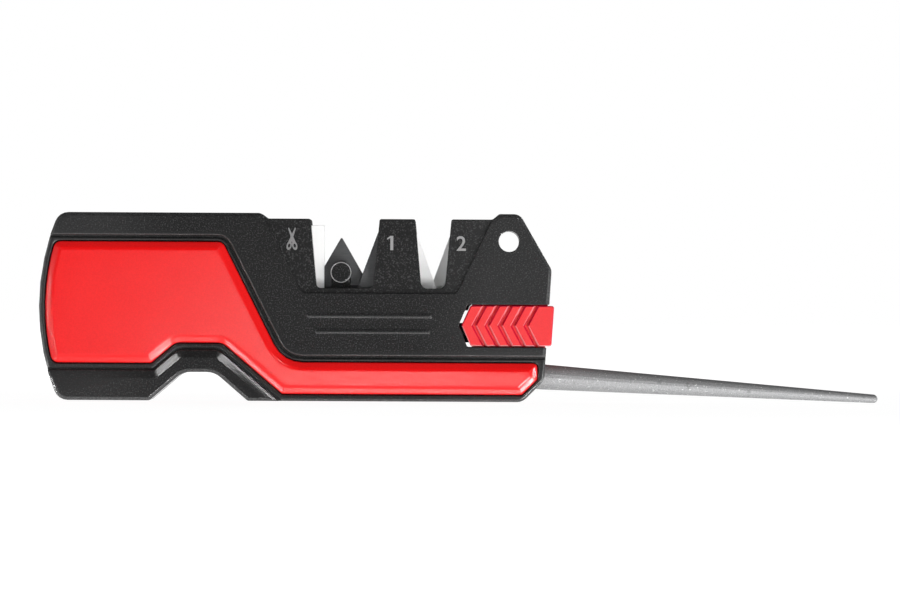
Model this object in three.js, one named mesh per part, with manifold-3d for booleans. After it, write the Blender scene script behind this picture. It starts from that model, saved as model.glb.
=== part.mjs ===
// A pocket knife sharpener: two moulded shells that clamp crossed carbides and
// ceramic stones, red grip panels, a sliding diamond rod and a pull-out fire steel.
//
// Millimetres. X runs along the housing, Y from the front face to the back, Z up.
// While the pieces are made, X = 0 is the right shoulder of the housing, Y = 0 the
// parting plane and Z = 0 the bottom edge. The last lines move the origin to the
// middle of the base.
import * as THREE from 'three';
import { mergeVertices } from 'three/addons/utils/BufferGeometryUtils.js';
import Module from 'manifold-3d';

const wasm = await Module();
wasm.setup();

const radians = THREE.MathUtils.degToRad;

// Clearances
const PARTING_GAP = 0.3;
const FIT = 0.3;
const OVERCUT = 0.6;
const RUN_OUT = 12;

// Housing envelope
const BODY_LENGTH = 120;
const BODY_HEIGHT = 44;
const BLOCK_HALF = 8;
const EDGE_CHAMFER = 0.7;
const CORNER_RADIUS = 2.4;
const LEFT_CORNER_RADIUS = 3.3;
const TOE_RADIUS = 3;
const SMALL_RADIUS = 1;
const CROWN_RADIUS = 55;
const CROWN_FACETS = 8;
const END_LEAN = radians(3.6);
const SHOULDER_HEIGHT = 31;
const EAR_SLOPE = radians(30);
const EAR_STEP = -13.9;
const EAR_STEP_RUN = 1.55;
const STEP_DROP = 1.3;
const LEFT_STEP = -66.5;
const LEFT_STEP_RUN = 1.8;
const BOTTOM_CHAMFER = 5.1;

// Finger notch in the bottom edge
const NOTCH_CENTRE = -82.5;
const NOTCH_MOUTH = 22.95;
const NOTCH_FLAT = 7.35;
const NOTCH_DEPTH = 6.7;
const NOTCH_RADIUS = 5;

// Grip panel
const PANEL_RIM = 1.5;
const LOWER_RIM = 1.75;
const PANEL_TOP_MARGIN = 6.8;
const PANEL_FIELD_BOTTOM = 8.8;
const PANEL_BAR_BOTTOM = 1.7;
const PANEL_BAR_TOP = 9.1;
const PANEL_BAR_END = -3.25;
const PANEL_NOTCH_COVER = 6.9;
const PANEL_NOTCH_RADIUS = 3;
const PANEL_NOTCH_FLAT = 10.9;
const PANEL_SLOPE = radians(40.3);
const PANEL_DIAGONAL = radians(26.85);
const PANEL_DIAGONAL_FOOT = -62.83;
const PANEL_ELBOW_RADIUS = 7.5;
const PANEL_CORNER = 1.8;
const PANEL_POCKET_DEPTH = 2.4;
const PANEL_SUNK = 0.2;
const PANEL_PEG_RADIUS = 1.2;
const PANEL_PEG_LENGTH = 1.3;
const PANEL_PEG_END_INSET = 10;
const PANEL_PEG_LOW = 12.6;
const PANEL_PEG_TOP_INSET = 2.8;
const PANEL_PEG_NECK = 18;
const PANEL_PEG_DIAGONAL_INSET = 4.7;

// Crown of the panel: how far in from its edge, and how far below its face
const PANEL_CROWN = [[0, 1.05], [0.14, 0.86], [0.38, 0.7], [1.1, 0.3], [1.45, 0.13], [1.8, 0.03], [2.15, 0]];

// Raised blocks above and below the panel: the edge over the groove, the smooth border
// beside it, the wide bevel of the lower block, and the groove at the foot. The rim round
// the panel has its own chamfer along the outside of the housing.
const RIM_DEPTH = 1;
const RIM_EDGE = 0.5;
const BLOCK_EDGE = 0.3;
const BLOCK_BORDER = 1.4;
const BLOCK_BORDER_DROP = 0.07;
const LOWER_BEVEL = 1.8;
const LOWER_BEVEL_DROP = 0.6;
const BLOCK_SKIM = 0.03;
const RIM_GROOVE_WIDTH = 0.65;
const RIM_GROOVE_DEPTH = 0.8;

// Recessed sharpening zone
const STATION_DEPTH = 0.8;
const STATION_HEIGHT = 17.4;
const STATION_LEFT = -67.4;
const STATION_LEFT_LEAN = radians(27);
const STATION_RIGHT = -13.9;
const STATION_RIGHT_LEAN = radians(25.2);
const STATION_CORNER = 1.4;

// Knife slots: centre, half width at the floor, draft of the walls
const SLOT_DEPTH = 16.2;
const SLOT_DRAFT = radians(5.2);
const COARSE_SLOT = { centre: -48.4, floorHalf: 6.6, radius: 1 };
const FINE_SLOT = { centre: -27.75, floorHalf: 2.75, radius: 1.5 };
const SLOT_MOUTH_RADIUS = 0.5;

// Carbides and stones
const FRONT_LAYER = 2.6;
const REAR_LAYER = 2.4;
const BAR_WIDTH = 3.5;
const BAR_BELOW = 4.3;
const COARSE_EDGE = { x: -44.14, below: 12.25, lean: radians(20.4), reach: 10 };
const FINE_EDGE = { x: -27.7, below: 14.3, lean: radians(20), reach: 12 };
const GUIDE_FACE = -53.35;
const GUIDE_WIDTH = 4;
const GUIDE_TOP_MARGIN = 1.5;
const GUIDE_LENGTH = 16.2;
const TRIANGLE_X = -49.35;
const TRIANGLE_BELOW = 12.5;
const TRIANGLE_RADIUS = 8.36;
const TRIANGLE_NOSE = 0.25;

// Post that holds the three-cornered carbide
const POST_RADIUS = 2.45;
const POST_TAB_WIDTH = 4.4;
const POST_TAB_DEPTH = 3;
const POST_BOSS_DEPTH = 4;
const POST_BOSS_EDGE = 0.25;
const POST_PEG_RADIUS = 1.3;

// Diamond rod, along its own axis from the right end face
const ROD_HEIGHT = 5.84;
const ROD_LEAN = radians(3.5);
const ROD_LENGTH = 78.7;
const ROD_BASE_RADIUS = 2.97;
const ROD_TIP_RADIUS = 1;
const ROD_ROOT = 4;
const ROD_TRAVEL = 68.5;
const ROD_CLEARANCE = 0.35;
const CHANNEL_END_GAP = 1;
const TANG_RADIUS = 1.5;
const TANG_LENGTH = 7;
const CARRIAGE_LENGTH = 7.7;
const WING_REACH = 4.2;
const WING_HALF_HEIGHT = 1.2;

// Leaf spring over the carriage
const SPRING_LENGTH = 9;
const SPRING_WIDTH = 4;
const SPRING_GAUGE = 0.4;
const SPRING_BUMP = 1.05;
const SPRING_BUMP_HALF = 1.7;

// Fire steel
const HANDLE_NOSE_X = -21.03;
const HANDLE_NOSE_LENGTH = 2.1;
const HANDLE_NOSE_HEIGHT = 17.9;
const HANDLE_BOTTOM = 13.1;
const HANDLE_TOP = 22.55;
const HANDLE_PROUD = 1.15;
const HANDLE_HALF = 7.6;
const HANDLE_CHAMFER = 0.25;
const HANDLE_CORNER = 0.5;
const HANDLE_NOSE_GAP = 0.7;
const TONGUE_HALF = 1.2;
const TONGUE_HEIGHT = 0.8;
const LOWER_TONGUE_HEIGHT = 0.5;
const TONGUE_SETBACK = 0.3;
const TONGUE_END_SETBACK = 0.25;
const CHEVRON_COUNT = 5;
const CHEVRON_FIRST = -18.1;
const CHEVRON_PITCH = 3.04;
const CHEVRON_WIDTH = 1.4;
const CHEVRON_FLOOR = 0.5;
const CHEVRON_DEPTH = 1;
const CHEVRON_EDGE = 0.4;
const CHEVRON_LEAN = radians(28);
const FLINT_RADIUS = 2.3;
const FLINT_HEIGHT = 16.17;
const FLINT_LENGTH = 47.6;
const FLINT_SOCKET = 10.5;
const STOP_NUB_HEIGHT = 1.45;
const STOP_NUB_GAP = 0.12;
const STOP_NUB_HALF = 2;

// Housing screws, put in from the back. A place is given along X, or from the left end,
// and by its height, or from the top.
const SCREWS = [
  { fromEnd: 11, fromTop: 13 },
  { fromEnd: 22, z: 15 },
  { x: -67.5, fromTop: 11 },
  { x: -38, z: 22.2 },
  { x: -7.5, z: 28.5 },
  { fromEnd: 15, z: 3.9 },
];
const SCREW_RADIUS = 1;
const SCREW_TIP = 4;
const SCREW_HEAD_RADIUS = 2.1;
const SCREW_HEAD_HEIGHT = 1.5;
const SCREW_HEAD_EDGE = 0.4;
const SCREW_SEAT = 3.3;
const SCREW_BOSS_RADIUS = 3.4;
const DRIVE_SLOT_WIDTH = 0.6;
const DRIVE_SLOT_LENGTH = 2.6;
const DRIVE_SLOT_DEPTH = 0.8;

// Lanyard hole, hollow and trim
const LANYARD_HOLE = { x: -10, below: 6.4, radius: 2.45 };
const HOLLOW_DEPTH = 3.4;
const HOLLOW_END_WALL = 6.5;
const HOLLOW_BOTTOM = 16.5;
const HOLLOW_TOP_WALL = 9;
const HOLLOW_RIGHT = -76;
const HOLLOW_RIB_FROM_END = 24;
const HOLLOW_RIB = 1.6;
const TRIM_RIBS = [[-57.2, -28.1, 20.1], [-55.2, -28.5, 16.4]];
const TRIM_RIB_WIDTH = 1;
const TRIM_RIB_HEIGHT = 0.3;
const TRIM_RIB_END_RADIUS = 0.4;
const TRIM_RIB_DRAFT = 0.2;

// Rounding
const ARC_STEPS = 4;
const LEAST_RADIUS = 0.15;
const ROUND_SIDES = 24;
const SMALL_ROUND_SIDES = 12;

// Levels and edges that follow from the sizes above
const LEFT = -BODY_LENGTH;
const STATION_TOP = BODY_HEIGHT - STEP_DROP;
const STATION_FLOOR = STATION_TOP - STATION_HEIGHT;
const SLOT_FLOOR = STATION_TOP - SLOT_DEPTH;
const RIM_HALF = BLOCK_HALF - RIM_DEPTH;
const PANEL_FLOOR = BLOCK_HALF - PANEL_POCKET_DEPTH;
const PANEL_TOP = BODY_HEIGHT - PANEL_TOP_MARGIN;
const PARTING_FACE = PARTING_GAP / 2;
const OUTSIDE = BLOCK_HALF + OVERCUT;
const TRIANGLE_Z = STATION_TOP - TRIANGLE_BELOW;
const CHANNEL_RADIUS = ROD_BASE_RADIUS + ROD_CLEARANCE;
const CARRIAGE_RADIUS = CHANNEL_RADIUS - FIT;
const CARRIAGE_FRONT = -(ROD_ROOT + FIT);
const CARRIAGE_BACK = CARRIAGE_FRONT - CARRIAGE_LENGTH;
const SPRING_SEAT = CHANNEL_RADIUS + SPRING_BUMP + SPRING_GAUGE;
const SCREW_PLACES = SCREWS.map(({ fromEnd, x = LEFT + fromEnd, fromTop, z = BODY_HEIGHT - fromTop }) => {
  return [x, z];
});
const PANEL_PEGS = [
  [LEFT + PANEL_PEG_END_INSET, PANEL_PEG_LOW],
  besideDiagonal(PANEL_TOP - PANEL_PEG_TOP_INSET),
  besideDiagonal(PANEL_PEG_NECK),
];

const FINISHES = {
  blackPlastic: { color: 0x2c2d2e, roughness: 0.55, metalness: 0 },
  redPlastic: { color: 0xe42c31, roughness: 0.42, metalness: 0 },
  whiteCeramic: { color: 0xf3f2ee, roughness: 0.6, metalness: 0 },
  carbide: { color: 0x3d3e41, roughness: 0.4, metalness: 0.9 },
  diamondGrit: { color: 0x86888b, roughness: 0.65, metalness: 0.7 },
  flint: { color: 0x2b2b2d, roughness: 0.5, metalness: 0.6 },
  springSteel: { color: 0xb8bbbf, roughness: 0.3, metalness: 1 },
  screwSteel: { color: 0x8c8f93, roughness: 0.35, metalness: 1 },
};

// Outlines

function corner(x, z, radius = 0) {
  return { x, z, radius };
}

// Turns corners, listed anticlockwise as seen from the front, into an outline whose
// corners are arcs. A positive inset moves every side inwards and keeps it parallel.
function outline(corners, inset = 0) {
  const sides = corners.map((from, i) => {
    const to = corners[(i + 1) % corners.length];
    const along = new THREE.Vector2(to.x - from.x, to.z - from.z).normalize();
    const inward = new THREE.Vector2(-along.y, along.x);
    return { along, point: new THREE.Vector2(from.x, from.z).addScaledVector(inward, inset) };
  });
  const points = [];
  corners.forEach(({ radius }, i) => {
    const before = sides[(i + sides.length - 1) % sides.length];
    const after = sides[i];
    const cross = before.along.cross(after.along);
    const between = after.point.clone().sub(before.point);
    const meeting = before.point.clone().addScaledVector(before.along, between.cross(after.along) / cross);
    if (radius === 0) {
      points.push(meeting);
      return;
    }
    const turn = Math.atan2(cross, before.along.dot(after.along));
    const bend = Math.max(radius - inset * Math.sign(turn), LEAST_RADIUS);
    const start = meeting.clone().addScaledVector(before.along, -bend * Math.tan(Math.abs(turn) / 2));
    const towards = new THREE.Vector2(-before.along.y, before.along.x).multiplyScalar(Math.sign(turn) * bend);
    const centre = start.clone().add(towards);
    for (let step = 0; step <= ARC_STEPS; step += 1) {
      points.push(start.clone().rotateAround(centre, (turn * step) / ARC_STEPS));
    }
  });
  return points;
}

// X of the crowned left end and of the leaning right end at a height, moved inwards.
function leftEnd(z, inset = 0) {
  const rise = z - BODY_HEIGHT / 2;
  return LEFT + CROWN_RADIUS - Math.sqrt((CROWN_RADIUS - inset) ** 2 - rise ** 2);
}

function rightEnd(z) {
  return (z - SHOULDER_HEIGHT) * Math.tan(END_LEAN);
}

function crownCorners(fromZ, toZ, inset) {
  return Array.from({ length: CROWN_FACETS - 1 }, (_, i) => {
    const z = fromZ + ((toZ - fromZ) * (i + 1)) / CROWN_FACETS;
    return corner(leftEnd(z, inset), z);
  });
}

function housingCorners() {
  const chamferX = rightEnd(BOTTOM_CHAMFER);
  return [
    corner(leftEnd(0), 0, LEFT_CORNER_RADIUS),
    corner(NOTCH_CENTRE - NOTCH_MOUTH / 2, 0, SMALL_RADIUS),
    corner(NOTCH_CENTRE - NOTCH_FLAT / 2, NOTCH_DEPTH, NOTCH_RADIUS),
    corner(NOTCH_CENTRE + NOTCH_FLAT / 2, NOTCH_DEPTH, NOTCH_RADIUS),
    corner(NOTCH_CENTRE + NOTCH_MOUTH / 2, 0, SMALL_RADIUS),
    corner(chamferX - BOTTOM_CHAMFER, 0, TOE_RADIUS),
    corner(chamferX, BOTTOM_CHAMFER, TOE_RADIUS),
    corner(0, SHOULDER_HEIGHT, CORNER_RADIUS),
    corner(-(BODY_HEIGHT - SHOULDER_HEIGHT) * Math.tan(EAR_SLOPE), BODY_HEIGHT, CORNER_RADIUS),
    corner(EAR_STEP + EAR_STEP_RUN, BODY_HEIGHT, SMALL_RADIUS),
    corner(EAR_STEP, STATION_TOP, SMALL_RADIUS),
    corner(LEFT_STEP, STATION_TOP, SMALL_RADIUS),
    corner(LEFT_STEP - LEFT_STEP_RUN, BODY_HEIGHT, SMALL_RADIUS),
    corner(leftEnd(BODY_HEIGHT), BODY_HEIGHT, LEFT_CORNER_RADIUS),
    ...crownCorners(BODY_HEIGHT, 0, 0),
  ];
}

// The panel's sides over the notch and along the diagonal, as X at a height.
function panelNotchSide(z, hand) {
  const top = NOTCH_DEPTH + PANEL_NOTCH_COVER;
  return NOTCH_CENTRE + hand * (PANEL_NOTCH_FLAT / 2 + (top - z) / Math.tan(PANEL_SLOPE));
}

function panelDiagonal(z) {
  return PANEL_DIAGONAL_FOOT - (z - PANEL_BAR_TOP) * Math.tan(PANEL_DIAGONAL);
}

function besideDiagonal(z) {
  return [panelDiagonal(z) - PANEL_PEG_DIAGONAL_INSET, z];
}

function panelCorners() {
  const notchTop = NOTCH_DEPTH + PANEL_NOTCH_COVER;
  const endCut = BOTTOM_CHAMFER - PANEL_RIM;
  return [
    corner(leftEnd(PANEL_FIELD_BOTTOM, PANEL_RIM), PANEL_FIELD_BOTTOM, PANEL_CORNER),
    corner(panelNotchSide(PANEL_FIELD_BOTTOM, -1), PANEL_FIELD_BOTTOM, SMALL_RADIUS),
    corner(panelNotchSide(notchTop, -1), notchTop, PANEL_NOTCH_RADIUS),
    corner(panelNotchSide(notchTop, 1), notchTop, PANEL_NOTCH_RADIUS),
    corner(panelNotchSide(PANEL_BAR_BOTTOM, 1), PANEL_BAR_BOTTOM, SMALL_RADIUS),
    corner(PANEL_BAR_END - endCut, PANEL_BAR_BOTTOM, SMALL_RADIUS),
    corner(PANEL_BAR_END, PANEL_BAR_BOTTOM + endCut, SMALL_RADIUS),
    corner(PANEL_BAR_END, PANEL_BAR_TOP, SMALL_RADIUS),
    corner(panelDiagonal(PANEL_BAR_TOP), PANEL_BAR_TOP, PANEL_ELBOW_RADIUS),
    corner(panelDiagonal(PANEL_TOP), PANEL_TOP, PANEL_CORNER),
    corner(leftEnd(PANEL_TOP, PANEL_RIM), PANEL_TOP, PANEL_CORNER),
    ...crownCorners(PANEL_TOP, PANEL_FIELD_BOTTOM, PANEL_RIM),
  ];
}

// The lowered rim round the panel: it follows the panel at the rim's width beside the
// raised blocks, and runs out past the housing at both ends and below the bar.
function rimCorners() {
  const lowerEdge = PANEL_FIELD_BOTTOM - LOWER_RIM;
  const notchEdge = NOTCH_DEPTH + PANEL_NOTCH_COVER - LOWER_RIM;
  const slopeShift = LOWER_RIM / Math.sin(PANEL_SLOPE) - LOWER_RIM / Math.tan(PANEL_SLOPE);
  const notchSide = (z, hand) => panelNotchSide(z + LOWER_RIM, hand) - hand * slopeShift;
  const upperEdge = PANEL_TOP + PANEL_RIM;
  const barEdge = PANEL_BAR_TOP + PANEL_RIM;
  const diagonalShift = PANEL_RIM / Math.cos(PANEL_DIAGONAL);
  return [
    corner(LEFT - RUN_OUT, lowerEdge),
    corner(notchSide(lowerEdge, -1), lowerEdge, SMALL_RADIUS),
    corner(notchSide(notchEdge, -1), notchEdge, PANEL_NOTCH_RADIUS),
    corner(notchSide(notchEdge, 1), notchEdge, PANEL_NOTCH_RADIUS),
    corner(notchSide(-RUN_OUT, 1), -RUN_OUT),
    corner(RUN_OUT, -RUN_OUT),
    corner(RUN_OUT, barEdge),
    corner(panelDiagonal(barEdge) + diagonalShift, barEdge, PANEL_ELBOW_RADIUS - PANEL_RIM),
    corner(panelDiagonal(upperEdge) + diagonalShift, upperEdge, PANEL_CORNER + PANEL_RIM),
    corner(LEFT - RUN_OUT, upperEdge),
  ];
}

// The face below a line along the middle of the panel, where the lower block lies.
function belowPanelCorners() {
  const over = NOTCH_DEPTH + PANEL_NOTCH_COVER + 2 * LOWER_BEVEL;
  const barMiddle = (PANEL_BAR_BOTTOM + PANEL_BAR_TOP) / 2;
  const left = LEFT - 2 * RUN_OUT;
  const right = 2 * RUN_OUT;
  return [
    corner(left, -right),
    corner(right, -right),
    corner(right, barMiddle),
    corner(panelDiagonal(PANEL_BAR_TOP), barMiddle),
    corner(panelNotchSide(NOTCH_DEPTH + PANEL_NOTCH_COVER, 1), over),
    corner(left, over),
  ];
}

function stationCorners() {
  const over = BODY_HEIGHT + OVERCUT;
  const left = (z) => STATION_LEFT + (STATION_TOP - z) * Math.tan(STATION_LEFT_LEAN);
  const right = (z) => STATION_RIGHT - (STATION_TOP - z) * Math.tan(STATION_RIGHT_LEAN);
  return [
    corner(left(STATION_FLOOR), STATION_FLOOR, STATION_CORNER),
    corner(right(STATION_FLOOR), STATION_FLOOR, STATION_CORNER),
    corner(right(over), over),
    corner(left(over), over),
  ];
}

// A slot and the open space over its mouth, whose two corners are rounded.
function slotCorners({ centre, floorHalf, radius }) {
  const over = BODY_HEIGHT + OVERCUT;
  const topHalf = floorHalf + (STATION_TOP - SLOT_FLOOR) * Math.tan(SLOT_DRAFT);
  const wide = topHalf + 2 * SLOT_MOUTH_RADIUS;
  return [
    corner(centre - floorHalf, SLOT_FLOOR, radius),
    corner(centre + floorHalf, SLOT_FLOOR, radius),
    corner(centre + topHalf, STATION_TOP, SLOT_MOUTH_RADIUS),
    corner(centre + wide, STATION_TOP),
    corner(centre + wide, over),
    corner(centre - wide, over),
    corner(centre - wide, STATION_TOP),
    corner(centre - topHalf, STATION_TOP, SLOT_MOUTH_RADIUS),
  ];
}

// A bar whose working edge leans over the slot: hand 1 keeps the bar right of its edge.
function leaningBarCorners({ x, below, lean, reach }, hand) {
  const edge = new THREE.Vector2(x, STATION_TOP - below);
  const up = new THREE.Vector2(hand * Math.sin(lean), Math.cos(lean));
  const back = new THREE.Vector2(hand * Math.cos(lean), -Math.sin(lean));
  const foot = edge.clone().addScaledVector(up, -BAR_BELOW);
  const head = edge.clone().addScaledVector(up, reach);
  const footBack = foot.clone().addScaledVector(back, BAR_WIDTH);
  const headBack = head.clone().addScaledVector(back, BAR_WIDTH);
  const ordered = hand > 0 ? [foot, footBack, headBack, head] : [head, headBack, footBack, foot];
  return ordered.map((point) => corner(point.x, point.y));
}

function rectangleCorners(x0, x1, z0, z1, radius = 0) {
  return [corner(x0, z0, radius), corner(x1, z0, radius), corner(x1, z1, radius), corner(x0, z1, radius)];
}

function guideStoneCorners() {
  const top = STATION_TOP - GUIDE_TOP_MARGIN;
  return rectangleCorners(GUIDE_FACE - GUIDE_WIDTH, GUIDE_FACE, top - GUIDE_LENGTH, top);
}

function triangleCorners() {
  return [210, 330, 90].map((degrees) => corner(
    TRIANGLE_X + TRIANGLE_RADIUS * Math.cos(radians(degrees)),
    TRIANGLE_Z + TRIANGLE_RADIUS * Math.sin(radians(degrees)),
    TRIANGLE_NOSE,
  ));
}

function handleCorners() {
  const noseFoot = HANDLE_NOSE_X + HANDLE_NOSE_LENGTH;
  return [
    corner(HANDLE_NOSE_X, HANDLE_NOSE_HEIGHT, HANDLE_CORNER),
    corner(noseFoot, HANDLE_BOTTOM, HANDLE_CORNER),
    corner(rightEnd(HANDLE_BOTTOM) + HANDLE_PROUD, HANDLE_BOTTOM, HANDLE_CORNER),
    corner(rightEnd(HANDLE_TOP) + HANDLE_PROUD, HANDLE_TOP, HANDLE_CORNER),
    corner(noseFoot, HANDLE_TOP, HANDLE_CORNER),
  ];
}

function handleSlotCorners() {
  const noseFoot = HANDLE_NOSE_X + HANDLE_NOSE_LENGTH - HANDLE_NOSE_GAP;
  return [
    corner(HANDLE_NOSE_X - HANDLE_NOSE_GAP, HANDLE_NOSE_HEIGHT, HANDLE_CORNER),
    corner(noseFoot, HANDLE_BOTTOM - FIT, HANDLE_CORNER),
    corner(RUN_OUT, HANDLE_BOTTOM - FIT),
    corner(RUN_OUT, HANDLE_TOP + FIT),
    corner(noseFoot, HANDLE_TOP + FIT, HANDLE_CORNER),
  ];
}

function chevronOutline(x, width) {
  const arm = HANDLE_TOP - HANDLE_BOTTOM;
  const run = arm * Math.tan(CHEVRON_LEAN);
  const path = [[-width / 2 + run, arm], [-width / 2, 0], [-width / 2 + run, -arm]];
  const back = [[width / 2 + run, -arm], [width / 2, 0], [width / 2 + run, arm]];
  return [...path, ...back].map(([dx, dz]) => new THREE.Vector2(x + dx, HANDLE_NOSE_HEIGHT + dz));
}

function hollowCorners() {
  const top = BODY_HEIGHT - HOLLOW_TOP_WALL;
  const left = LEFT + HOLLOW_END_WALL;
  const rightAtTop = HOLLOW_RIGHT - (top - HOLLOW_BOTTOM) * Math.tan(PANEL_DIAGONAL);
  return [
    corner(left, HOLLOW_BOTTOM, SMALL_RADIUS),
    corner(HOLLOW_RIGHT, HOLLOW_BOTTOM, SMALL_RADIUS),
    corner(rightAtTop, top, SMALL_RADIUS),
    corner(left, top, SMALL_RADIUS),
  ];
}

// Geometry

// Skins a stack of outlines that have the same number of points, each at its own Y.
function loft(levels) {
  const stack = [...levels].sort((a, b) => a.y - b.y);
  const count = stack[0].points.length;
  const positions = stack.flatMap(({ y, points }) => points.flatMap((point) => [point.x, y, point.y]));
  const index = [];
  for (let level = 0; level + 1 < stack.length; level += 1) {
    for (let i = 0; i < count; i += 1) {
      const near = level * count + i;
      const nearNext = level * count + ((i + 1) % count);
      index.push(near, nearNext + count, nearNext, near, near + count, nearNext + count);
    }
  }
  const last = (stack.length - 1) * count;
  const lowCap = THREE.ShapeUtils.triangulateShape(stack[0].points, []);
  const highCap = THREE.ShapeUtils.triangulateShape(stack.at(-1).points, []);
  lowCap.forEach(([a, b, c]) => index.push(a, b, c));
  highCap.forEach(([a, b, c]) => index.push(last + a, last + c, last + b));
  const geometry = new THREE.BufferGeometry();
  geometry.setAttribute('position', new THREE.Float32BufferAttribute(positions, 3));
  geometry.setIndex(index);
  return geometry;
}

function prism(points, y0, y1) {
  const depth = Math.abs(y1 - y0);
  const geometry = new THREE.ExtrudeGeometry(new THREE.Shape(points), { depth, bevelEnabled: false });
  return geometry.rotateX(Math.PI / 2).translate(0, Math.max(y0, y1), 0);
}

function cylinderAlongY(x, z, radius, y0, y1, sides = ROUND_SIDES) {
  const geometry = new THREE.CylinderGeometry(radius, radius, Math.abs(y1 - y0), sides);
  return geometry.translate(x, (y0 + y1) / 2, z);
}

function coneAlongY(x, z, radius0, radius1, y0, y1, sides = ROUND_SIDES) {
  const [high, low] = y1 > y0 ? [radius1, radius0] : [radius0, radius1];
  const geometry = new THREE.CylinderGeometry(high, low, Math.abs(y1 - y0), sides);
  return geometry.translate(x, (y0 + y1) / 2, z);
}

function cylinderAlongX(x0, x1, z, radius, sides = ROUND_SIDES) {
  const geometry = new THREE.CylinderGeometry(radius, radius, x1 - x0, sides);
  return geometry.rotateZ(-Math.PI / 2).translate((x0 + x1) / 2, 0, z);
}

function block(x0, x1, y0, y1, z0, z1) {
  const geometry = new THREE.BoxGeometry(x1 - x0, y1 - y0, z1 - z0);
  return geometry.translate((x0 + x1) / 2, (y0 + y1) / 2, (z0 + z1) / 2);
}

// Joining and cutting

function solid(geometry) {
  const bare = geometry.clone();
  bare.deleteAttribute('normal');
  bare.deleteAttribute('uv');
  const welded = mergeVertices(bare);
  return new wasm.Manifold(new wasm.Mesh({
    numProp: 3,
    vertProperties: new Float32Array(welded.getAttribute('position').array),
    triVerts: new Uint32Array(welded.getIndex().array),
  }));
}

function join(...geometries) {
  return geometries.map(solid).reduce((whole, part) => whole.add(part));
}

function cut(body, geometries) {
  return geometries.reduce((whole, tool) => whole.subtract(solid(tool)), body);
}

function surface(body) {
  const mesh = body.getMesh();
  const geometry = new THREE.BufferGeometry();
  geometry.setAttribute('position', new THREE.BufferAttribute(mesh.vertProperties, 3));
  geometry.setIndex(new THREE.BufferAttribute(mesh.triVerts, 1));
  geometry.computeVertexNormals();
  return geometry;
}

// Scene graph: the rod frame carries what lies along the rod's own axis

const sharpener = new THREE.Group();
const rodFrame = new THREE.Group();
rodFrame.position.set(rightEnd(ROD_HEIGHT), 0, ROD_HEIGHT);
rodFrame.rotation.y = ROD_LEAN;
rodFrame.updateMatrix();
sharpener.add(rodFrame);

function addPiece(name, geometry, finish, parent = sharpener) {
  const mesh = new THREE.Mesh(geometry, new THREE.MeshStandardMaterial(finish));
  mesh.name = name;
  parent.add(mesh);
}

function alongRod(geometry) {
  return geometry.applyMatrix4(rodFrame.matrix);
}

// Cuts that both shells share

function rodChannelCuts() {
  const back = CARRIAGE_BACK - ROD_TRAVEL - CHANNEL_END_GAP;
  const shoulder = CARRIAGE_FRONT + FIT;
  const wing = WING_REACH + FIT;
  const groove = WING_HALF_HEIGHT + FIT;
  return [
    cylinderAlongX(back, OUTSIDE, 0, CHANNEL_RADIUS),
    block(back, shoulder, -wing, wing, -groove, groove),
  ].map(alongRod);
}

function springPocketCut() {
  const half = SPRING_WIDTH / 2 + FIT;
  const back = CARRIAGE_BACK - FIT;
  const front = back + SPRING_LENGTH + 2 * FIT;
  return alongRod(block(back, front, -half, half, 0, SPRING_SEAT + FIT));
}

function fireSteelCuts() {
  const groove = TONGUE_HALF + FIT;
  const lowerGroove = HANDLE_BOTTOM - LOWER_TONGUE_HEIGHT - FIT;
  const grooveStart = HANDLE_NOSE_X + HANDLE_NOSE_LENGTH + TONGUE_SETBACK - FIT;
  const flintStart = HANDLE_NOSE_X + FLINT_SOCKET - FLINT_LENGTH;
  return [
    prism(outline(handleSlotCorners()), -OUTSIDE, OUTSIDE),
    block(grooveStart, OUTSIDE, -groove, groove, HANDLE_TOP, HANDLE_TOP + TONGUE_HEIGHT + FIT),
    block(grooveStart, OUTSIDE, -groove, groove, lowerGroove, HANDLE_BOTTOM),
    cylinderAlongX(flintStart - FIT, HANDLE_NOSE_X + HANDLE_NOSE_LENGTH, FLINT_HEIGHT, FLINT_RADIUS + FIT),
  ];
}

// The open space that lightens a shell, less the screw bosses and a rib.
function hollowCut(side) {
  const space = solid(prism(outline(hollowCorners()), 0, side * HOLLOW_DEPTH));
  const ribLeft = LEFT + HOLLOW_RIB_FROM_END - HOLLOW_RIB / 2;
  const kept = SCREW_PLACES.map(([x, z]) => cylinderAlongY(x, z, SCREW_BOSS_RADIUS, -BLOCK_HALF, BLOCK_HALF));
  kept.push(block(ribLeft, ribLeft + HOLLOW_RIB, -BLOCK_HALF, BLOCK_HALF, 0, BODY_HEIGHT));
  return cut(space, kept);
}

function trimRib([x0, x1, z], side) {
  const half = TRIM_RIB_WIDTH / 2;
  const corners = rectangleCorners(x0, x1, z - half, z + half, TRIM_RIB_END_RADIUS);
  return loft([
    { y: side * (BLOCK_HALF - OVERCUT), points: outline(corners) },
    { y: side * BLOCK_HALF, points: outline(corners) },
    { y: side * (BLOCK_HALF + TRIM_RIB_HEIGHT), points: outline(corners, TRIM_RIB_DRAFT) },
  ]);
}

// Shells

// The post in the first slot: a tab that stands on the slot floor and a round boss,
// both starting at the given depth from the parting plane.
function postPieces(side, start) {
  const half = POST_TAB_WIDTH / 2;
  const tab = rectangleCorners(TRIANGLE_X - half, TRIANGLE_X + half, SLOT_FLOOR - OVERCUT, TRIANGLE_Z);
  const inner = side * start;
  const end = side * (start + POST_BOSS_DEPTH);
  const edge = end - side * POST_BOSS_EDGE;
  const faceRadius = POST_RADIUS - POST_BOSS_EDGE;
  return [
    prism(outline(tab), inner, side * (start + POST_TAB_DEPTH)),
    cylinderAlongY(TRIANGLE_X, TRIANGLE_Z, POST_RADIUS, inner, edge),
    coneAlongY(TRIANGLE_X, TRIANGLE_Z, POST_RADIUS, faceRadius, edge, end),
  ];
}

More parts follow.
